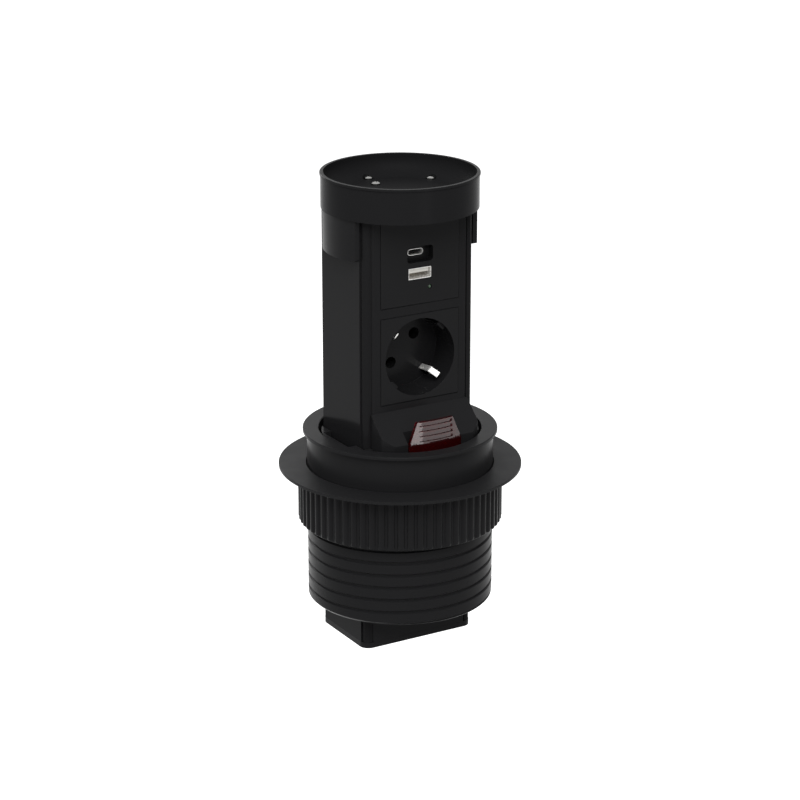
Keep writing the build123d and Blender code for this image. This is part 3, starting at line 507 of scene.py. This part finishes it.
def dressed(node, key, width=0.0):
    """Piece in the shape of a CAD node, with its edges rounded where a width is given."""
    piece = put(node, welded(node), key)
    if width:
        soften(piece, width)
    return piece


def refinish(node, key):
    """Gives a CAD node that keeps its own mesh a better material."""
    mesh = frame["nodes"][node].data
    mesh.materials.clear()
    mesh.materials.append(finish_of(key))


def sized_tree(name, sizes):
    """Geometry Nodes tree with one named input for each size."""
    tree = bpy.data.node_groups.new(name, "GeometryNodeTree")
    tree.interface.new_socket("Geometry", in_out="INPUT", socket_type="NodeSocketGeometry")
    for size, value in sizes.items():
        kind = "NodeSocketInt" if isinstance(value, int) else "NodeSocketFloat"
        tree.interface.new_socket(size, in_out="INPUT", socket_type=kind)
    tree.interface.new_socket("Geometry", in_out="OUTPUT", socket_type="NodeSocketGeometry")
    return tree, add(tree, "NodeGroupInput").outputs


def ended(tree, geometry, key):
    """Closes a tree: real geometry, smooth shading and its material."""
    real = add(tree, "GeometryNodeRealizeInstances", {"Geometry": geometry})
    smooth = add(tree, "GeometryNodeSetShadeSmooth", {"Geometry": real, "Shade Smooth": True})
    last = {"Geometry": smooth, "Material": finish_of(key)}
    last = add(tree, "GeometryNodeSetMaterial", last)
    add(tree, "NodeGroupOutput", {"Geometry": last})


def grown(tree, sizes, points=()):
    """Plain mesh that a tree makes of its sizes, starting from points."""
    seed = bpy.data.meshes.new(tree.name + "_mesh")
    seed.from_pydata(points, [], [])
    holder = bpy.data.objects.new(tree.name, seed)
    bpy.context.scene.collection.objects.link(holder)
    grower = holder.modifiers.new("grown", "NODES")
    grower.node_group = tree
    for socket in tree.interface.items_tree:
        if socket.in_out == "INPUT" and socket.name in sizes:
            grower[socket.identifier] = sizes[socket.name]
    graph = bpy.context.evaluated_depsgraph_get()
    mesh = bpy.data.meshes.new_from_object(holder.evaluated_get(graph))
    bpy.data.objects.remove(holder)
    if not mesh.polygons:
        raise RuntimeError(tree.name + " grew no faces")
    return mesh


# Pieces


class SOCKET_OT_sleeve(bpy.types.Operator):
    """Threaded sleeve with its flange, and the clamp disc below it"""

    bl_idname = "socket.sleeve"
    bl_label = "Sleeve and clamp disc"

    def execute(self, context):
        edge = context.scene.socket_plastic.edge
        dressed("threaded_sleeve", "satin", edge)
        dressed("clamp_disc", "matt", edge)
        return {"FINISHED"}


def nut_rib(tree, size):
    """One round rib standing on z = 0, its lower end drawn in to a rounded tip."""
    rings = 6
    half = 0.5  # share of the height by which the bar's foot lies under z = 0
    blunt = 0.2  # least turn of the tip's arc, so that the rib doesn't end in a point
    under_top = 0.95  # share of the height above which only the bar's top ring lies
    bar = {"Vertices": 20, "Side Segments": rings}
    bar |= {"Radius": size["rib"], "Depth": size["height"]}
    bar = add(tree, "GeometryNodeMeshCylinder", bar)
    place = add(tree, "GeometryNodeInputPosition")
    place = add(tree, "ShaderNodeSeparateXYZ", {"Vector": place}).outputs
    share = add(tree, "ShaderNodeMath", (place["Z"], size["height"]), operation="DIVIDE")
    share = add(tree, "ShaderNodeMath", (share, half), operation="ADD")
    turn = add(tree, "ShaderNodeMath", (share, rings / (rings - 1)), operation="MULTIPLY")
    turn = add(tree, "ShaderNodeMath", (turn, 1.0), operation="MINIMUM")
    turn = add(tree, "ShaderNodeMath", (turn, math.pi / 2), operation="MULTIPLY")
    draw = add(tree, "ShaderNodeMath", (turn, blunt), operation="MAXIMUM")
    draw = add(tree, "ShaderNodeMath", (draw,), operation="SINE")
    low = add(tree, "ShaderNodeMath", (turn,), operation="COSINE")
    low = add(tree, "ShaderNodeMath", (1.0, low), operation="SUBTRACT")
    low = add(tree, "ShaderNodeMath", (size["end"], low), operation="MULTIPLY")
    top = add(tree, "ShaderNodeMath", (share, under_top), operation="GREATER_THAN")
    rest = add(tree, "ShaderNodeMath", (size["height"], low), operation="SUBTRACT")
    rest = add(tree, "ShaderNodeMath", (rest, top), operation="MULTIPLY")
    spot = {
        "X": add(tree, "ShaderNodeMath", (place["X"], draw), operation="MULTIPLY"),
        "Y": add(tree, "ShaderNodeMath", (place["Y"], draw), operation="MULTIPLY"),
        "Z": add(tree, "ShaderNodeMath", (low, rest), operation="ADD"),
    }
    spot = add(tree, "ShaderNodeCombineXYZ", spot)
    return add(tree, "GeometryNodeSetPosition", {"Geometry": bar, "Position": spot})


def nut_ring(tree, size):
    """Closed ring of the nut, with rounded rims, standing on z = 0."""
    middle = add(tree, "ShaderNodeMath", (size["wall"], 2.0), operation="DIVIDE")
    middle = add(tree, "ShaderNodeMath", (size["bore"], middle), operation="ADD")
    path = {"Radius": middle, "Resolution": 264}
    path = add(tree, "GeometryNodeCurvePrimitiveCircle", path)
    section = {"Width": size["wall"], "Height": size["height"]}
    section = add(tree, "GeometryNodeCurvePrimitiveQuadrilateral", section)
    rim = {"Curve": section, "Radius": size["rounding"], "Count": 3, "Limit Radius": True}
    rim = add(tree, "GeometryNodeFilletCurve", rim, mode="POLY")
    ring = add(tree, "GeometryNodeCurveToMesh", {"Curve": path, "Profile Curve": rim})
    rise = add(tree, "ShaderNodeMath", (size["height"], 2.0), operation="DIVIDE")
    rise = add(tree, "ShaderNodeCombineXYZ", {"Z": rise})
    return add(tree, "GeometryNodeTransform", {"Geometry": ring, "Translation": rise})


def nut_ridge(tree, size):
    """Thread ridge that runs round the bore in the sleeve's groove."""
    climb = add(tree, "ShaderNodeMath", (size["turns"], size["pitch"]), operation="MULTIPLY")
    coil = {
        "Resolution": 72,
        "Rotations": size["turns"],
        "Start Radius": size["bore"],
        "End Radius": size["bore"],
        "Height": climb,
    }
    coil = add(tree, "GeometryNodeCurveSpiral", coil)
    section = {"Radius": size["ridge"], "Resolution": 6}
    section = add(tree, "GeometryNodeCurvePrimitiveCircle", section)
    ridge = {"Curve": coil, "Profile Curve": section, "Fill Caps": True}
    ridge = add(tree, "GeometryNodeCurveToMesh", ridge)
    rise = add(tree, "ShaderNodeCombineXYZ", {"Z": size["start"]})
    return add(tree, "GeometryNodeTransform", {"Geometry": ridge, "Translation": rise})


class SOCKET_OT_nut(bpy.types.Operator):
    """Ring nut, grown from its sizes with a ring of grip ribs"""

    bl_idname = "socket.nut"
    bl_label = "Ring nut"

    def execute(self, context):
        low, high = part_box("ring_nut")
        sizes = values(context.scene.socket_nut)
        sizes |= {"foot": low[2], "height": high[2] - low[2]}
        tree, size = sized_tree("ring_nut_growth", sizes)
        skin = add(tree, "ShaderNodeMath", (size["bore"], size["wall"]), operation="ADD")
        circle = add(tree, "ShaderNodeMath", (skin, size["sunk"]), operation="SUBTRACT")
        spots = {"Vertices": size["count"], "Radius": circle}
        spots = add(tree, "GeometryNodeMeshCircle", spots)
        ribs = {"Points": spots, "Instance": nut_rib(tree, size)}
        ribs = add(tree, "GeometryNodeInstanceOnPoints", ribs)
        whole = [ribs, nut_ring(tree, size), nut_ridge(tree, size)]
        whole = add(tree, "GeometryNodeJoinGeometry", {"Geometry": whole})
        rise = add(tree, "ShaderNodeCombineXYZ", {"Z": size["foot"]})
        lift = add(tree, "GeometryNodeTransform", {"Geometry": whole, "Translation": rise})
        ended(tree, lift, "satin")
        mesh = grown(tree, sizes)
        put("ring_nut", mesh, "satin")
        mesh.set_sharp_from_angle(angle=math.radians(40))
        return {"FINISHED"}


def pan_head(tree, size):
    """Rounded screw head about the origin, with a cross recess in its top."""
    half = add(tree, "ShaderNodeMath", (size["height"], 2.0), operation="DIVIDE")
    head = {"Vertices": 32, "Radius": size["head"], "Depth": size["height"]}
    head = add(tree, "GeometryNodeMeshCylinder", head)
    ball = {"Segments": 48, "Rings": 32, "Radius": size["dome"]}
    ball = add(tree, "GeometryNodeMeshUVSphere", ball)
    drop = add(tree, "ShaderNodeMath", (half, size["dome"]), operation="SUBTRACT")
    drop = add(tree, "ShaderNodeCombineXYZ", {"Z": drop})
    ball = add(tree, "GeometryNodeTransform", {"Geometry": ball, "Translation": drop})
    domed = {"Mesh 2": [head, ball]}
    domed = add(tree, "GeometryNodeMeshBoolean", domed, operation="INTERSECT", solver="EXACT")
    across = add(tree, "ShaderNodeMath", (size["reach"], 2.0), operation="MULTIPLY")
    deep = add(tree, "ShaderNodeMath", (size["depth"], 2.0), operation="MULTIPLY")
    top = add(tree, "ShaderNodeCombineXYZ", {"Z": half})
    cross = []
    for wide, long in ((size["width"], across), (across, size["width"])):
        block = add(tree, "ShaderNodeCombineXYZ", {"X": wide, "Y": long, "Z": deep})
        block = add(tree, "GeometryNodeMeshCube", {"Size": block})
        block = add(tree, "GeometryNodeTransform", {"Geometry": block, "Translation": top})
        cross.append(block)
    cut = {"Mesh 1": domed, "Mesh 2": cross}
    return add(tree, "GeometryNodeMeshBoolean", cut, operation="DIFFERENCE", solver="EXACT")


def screw_shank(tree, size):
    """Plain shank that hangs from the foot of the screw head."""
    shank = {"Vertices": 20, "Radius": size["shank"], "Depth": size["length"]}
    shank = add(tree, "GeometryNodeMeshCylinder", shank)
    whole = add(tree, "ShaderNodeMath", (size["height"], size["length"]), operation="ADD")
    sunk = add(tree, "ShaderNodeMath", (whole, -2.0), operation="DIVIDE")
    sunk = add(tree, "ShaderNodeCombineXYZ", {"Z": sunk})
    return add(tree, "GeometryNodeTransform", {"Geometry": shank, "Translation": sunk})


class SOCKET_OT_screws(bpy.types.Operator):
    """Bright pan head screws on the tray's floor"""

    bl_idname = "socket.screws"
    bl_label = "Tray screws"

    def execute(self, context):
        places = context.scene.socket_screw_places
        sizes = values(context.scene.socket_screws)
        low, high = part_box("tray_screws")
        sizes["length"] = high[2] - low[2] - sizes["height"]
        tree, size = sized_tree("tray_screw_growth", sizes)
        screw = [pan_head(tree, size), screw_shank(tree, size)]
        screw = add(tree, "GeometryNodeJoinGeometry", {"Geometry": screw})
        screws = {"Points": size["Geometry"], "Instance": screw}
        screws = add(tree, "GeometryNodeInstanceOnPoints", screws)
        ended(tree, screws, "zinc")
        turns = [math.radians(turn) for turn in OUTER_SCREWS]
        spots = [(places.circle * math.cos(t), places.circle * math.sin(t)) for t in turns]
        spots += [(places.rear_x, places.rear), (0, places.front)]
        level = high[2] - sizes["height"] / 2
        mesh = grown(tree, sizes, [(x, y, level) for x, y in spots])
        put("tray_screws", mesh, "zinc")
        mesh.set_sharp_from_angle(angle=math.radians(30))
        return {"FINISHED"}


class SOCKET_OT_tower(bpy.types.Operator):
    """Shell, tray, cover and cap of the tower"""

    bl_idname = "socket.tower"
    bl_label = "Tower"

    def execute(self, context):
        edge = context.scene.socket_plastic.edge
        dressed("tower_shell", "gloss", edge)
        dressed("top_tray", "tray", edge)
        for node in ("front_cover", "end_cap", "head_plate"):
            dressed(node, "satin", edge)
        return {"FINISHED"}


class SOCKET_OT_modules(bpy.types.Operator):
    """Socket insert and USB faceplate with their metal parts"""

    bl_idname = "socket.modules"
    bl_label = "Modules"

    def execute(self, context):
        edge = context.scene.socket_plastic.edge
        for node in ("socket_insert", "usb_faceplate"):
            dressed(node, "smooth", FINE_EDGE * edge)
        for node in ("earth_clip", "usb_a_shell", "usb_c_shell"):
            dressed(node, "nickel", THIN_EDGE * edge)
        return {"FINISHED"}


class SOCKET_OT_release(bpy.types.Operator):
    """Release housing, lever with its spring, and guide shoes"""

    bl_idname = "socket.release"
    bl_label = "Release"

    def execute(self, context):
        edge = context.scene.socket_plastic.edge
        dressed("release_wedge", "satin", edge)
        dressed("release_lever", "tab", FINE_EDGE * edge)
        spring = dressed("lever_spring", "zinc")
        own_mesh(spring)
        for node in ("guide_shoe_left", "guide_shoe_right", "rear_shoe"):
            dressed(node, "satin", edge)
        return {"FINISHED"}


INSIDE = {
    "head_screws": "zinc",
    "board_screws": "zinc",
    "wedge_screws": "zinc",
    "shoe_screws": "zinc",
    "end_cap_screws": "zinc",
    "lever_pin": "zinc",
    "contact_sleeves": "bronze",
    "terminal_screws": "brass",
    "usb_a_contacts": "gold",
    "usb_a_tongue": "white",
    "usb_c_tongue": "smooth",
    "usb_circuit_board": "board",
    "status_led": "lamp",
    "power_transformer": "ferrite",
    "filter_capacitors": "can",
    "contact_carrier": "matt",
    "terminal_block": "pale",
    "brake_pad": "rubber",
    "cable_bushing": "rubber",
    "live_wire": "brown",
    "neutral_wire": "blue",
    "earth_wire": "green",
    "usb_leads": "brown",
}


class SOCKET_OT_inside(bpy.types.Operator):
    """Finishes of the small and inner pieces"""

    bl_idname = "socket.inside"
    bl_label = "Inner pieces"

    def execute(self, context):
        for node, key in INSIDE.items():
            refinish(node, key)
        return {"FINISHED"}


# Stage


def strength(tree, direction, low, high, start, end):
    """Light of the room: low away from a direction, high towards it.

    It rises from start to end, which are cosines of the angle to that direction.
    """
    sides = (add(tree, "ShaderNodeTexCoord"), Vector(direction).normalized())
    facing = add(tree, "ShaderNodeVectorMath", sides, operation="DOT_PRODUCT").outputs["Value"]
    light = {"Value": facing, "From Min": start, "From Max": end, "To Min": low, "To Max": high}
    return add(tree, "ShaderNodeMapRange", light, interpolation_type="SMOOTHSTEP")


def backdrop():
    """World that shows white. Its light and its mirror image are darker behind the camera."""
    world = bpy.data.worlds.new("pale_studio")
    bpy.context.scene.world = world
    world.use_nodes = True
    tree = world.node_tree
    tree.nodes.clear()
    path = add(tree, "ShaderNodeLightPath").outputs
    mirrored = (path["Is Glossy Ray"], path["Is Transmission Ray"])
    mirrored = add(tree, "ShaderNodeMath", mirrored, operation="MAXIMUM")
    lit = strength(tree, (-0.25, 1.0, 0.3), low=0.24, high=0.66, start=-0.6, end=0.7)
    shown = strength(tree, (0.3, 1.0, 0.2), low=0.4, high=1.0, start=-0.8, end=0.1)
    level = add(tree, "ShaderNodeMix", {"Factor": mirrored, "A": lit, "B": shown})
    level = add(tree, "ShaderNodeMix", {"Factor": path["Is Camera Ray"], "A": level, "B": 1.0})
    room = add(tree, "ShaderNodeBackground", {"Color": linear(WHITE), "Strength": level})
    add(tree, "ShaderNodeOutputWorld", {"Surface": room})


def floor(height):
    """Pale floor that keeps the shadow, shows white, and is clear from below."""
    half = 4.0
    mesh = bpy.data.meshes.new("floor_mesh")
    corners = [(-half, -half), (half, -half), (half, half), (-half, half)]
    mesh.from_pydata([(x, y, height) for x, y in corners], [], [(0, 1, 2, 3)])
    piece = bpy.data.objects.new("floor", mesh)
    bpy.context.scene.collection.objects.link(piece)
    inputs = {
        "Base Color": linear("#a8a8a8"),
        "Roughness": 0.9,
        "Specular IOR Level": 0.0,
        "Emission Color": linear(WHITE),
    }
    made, tree, shader = material("pale_floor", inputs)
    path = add(tree, "ShaderNodeLightPath").outputs
    glow = (path["Is Glossy Ray"], path["Is Transmission Ray"])
    glow = add(tree, "ShaderNodeMath", glow, operation="MAXIMUM")
    glow = add(tree, "ShaderNodeMath", (glow, path["Is Camera Ray"]), operation="MAXIMUM")
    tree.links.new(glow.outputs["Value"], shader.inputs["Emission Strength"])
    below = add(tree, "ShaderNodeNewGeometry").outputs["Backfacing"]
    clear = add(tree, "ShaderNodeBsdfTransparent")
    shown = add(tree, "ShaderNodeMixShader", (below, shader, clear)).outputs["Shader"]
    tree.links.new(shown, tree.nodes["Material Output"].inputs["Surface"])
    mesh.materials.append(made)


def lamp(name, place, aim, size, power):
    """Square soft box at a place, turned to an aim point, with its power in watts."""
    light = bpy.data.lights.new(name, "AREA")
    light.energy = power
    light.size = size
    holder = bpy.data.objects.new(name, light)
    bpy.context.scene.collection.objects.link(holder)
    holder.location = place
    holder.rotation_euler = (Vector(aim) - Vector(place)).to_track_quat("-Z", "Y").to_euler()


def camera(settings):
    """Camera at the photograph's viewing angle."""
    made = bpy.data.cameras.new("camera")
    made.lens = settings.lens
    made.clip_end = 20.0
    holder = bpy.data.objects.new("camera", made)
    bpy.context.scene.collection.objects.link(holder)
    level = math.cos(settings.rise)
    side, ahead = math.sin(settings.turn), math.cos(settings.turn)
    back = Vector((side * level, -ahead * level, math.sin(settings.rise)))
    aim = Vector((0, 0, settings.aim_height))
    holder.location = aim + back * settings.distance
    holder.rotation_euler = (-back).to_track_quat("-Z", "Y").to_euler()
    bpy.context.scene.camera = holder


def lowest_reach():
    """Height of the tower's foot when it is pushed right down."""
    travel = next(j for j in frame["joints"] if j["name"] == "tower_slide")["range_m"][1]
    return cad_bounds[0].z - travel


class SOCKET_OT_stage(bpy.types.Operator):
    """Camera, soft boxes, floor and backdrop"""

    bl_idname = "socket.stage"
    bl_label = "Stage"

    def execute(self, context):
        settings = context.scene.socket_stage
        camera(settings)
        backdrop()
        floor(lowest_reach() - settings.floor_drop)
        middle = (0, 0, 0.02)
        behind = (0.0, 0.66, -0.25)
        lamp("left_soft_box", (-1.5, 0.3, 0.5), middle, size=0.9, power=2.0)
        lamp("back_floor_box", (0.0, 0.72, 0.3), behind, size=0.45, power=2.4)
        lamp("low_front_box", (0.15, -1.5, -0.1), middle, size=0.45, power=1.2)
        lamp("front_soft_box", (-0.6, -1.2, 1.5), middle, size=1.4, power=34.0)
        context.scene.view_settings.view_transform = "Standard"
        return {"FINISHED"}


class SOCKET_PT_panel(bpy.types.Panel):
    """Lists the steps that dress the socket, and their settings."""

    bl_idname = "SOCKET_PT_panel"
    bl_label = "Desk Socket"
    bl_space_type = "VIEW_3D"
    bl_region_type = "UI"
    bl_category = "Desk Socket"

    def draw(self, context):
        for step in STEPS:
            self.layout.operator(step.bl_idname)
        for name, group in GROUPS.items():
            box = self.layout.box()
            for prop in group.__annotations__:
                box.prop(getattr(context.scene, name), prop)


STEPS = (
    SOCKET_OT_stage,
    SOCKET_OT_sleeve,
    SOCKET_OT_nut,
    SOCKET_OT_screws,
    SOCKET_OT_tower,
    SOCKET_OT_modules,
    SOCKET_OT_release,
    SOCKET_OT_inside,
)


def register():
    for group in GROUPS.values():
        bpy.utils.register_class(group)
    for name, group in GROUPS.items():
        setattr(bpy.types.Scene, name, PointerProperty(type=group))
    for made in STEPS + (SOCKET_PT_panel,):
        bpy.utils.register_class(made)


def unregister():
    for made in reversed(STEPS + (SOCKET_PT_panel,)):
        bpy.utils.unregister_class(made)
    for name in GROUPS:
        delattr(bpy.types.Scene, name)
    for group in reversed(list(GROUPS.values())):
        bpy.utils.unregister_class(group)


def main():
    """Registers the add-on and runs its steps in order."""
    register()
    for step in STEPS:
        group, name = step.bl_idname.split(".")
        getattr(getattr(bpy.ops, group), name)()


if __name__ == "__main__":
    main()
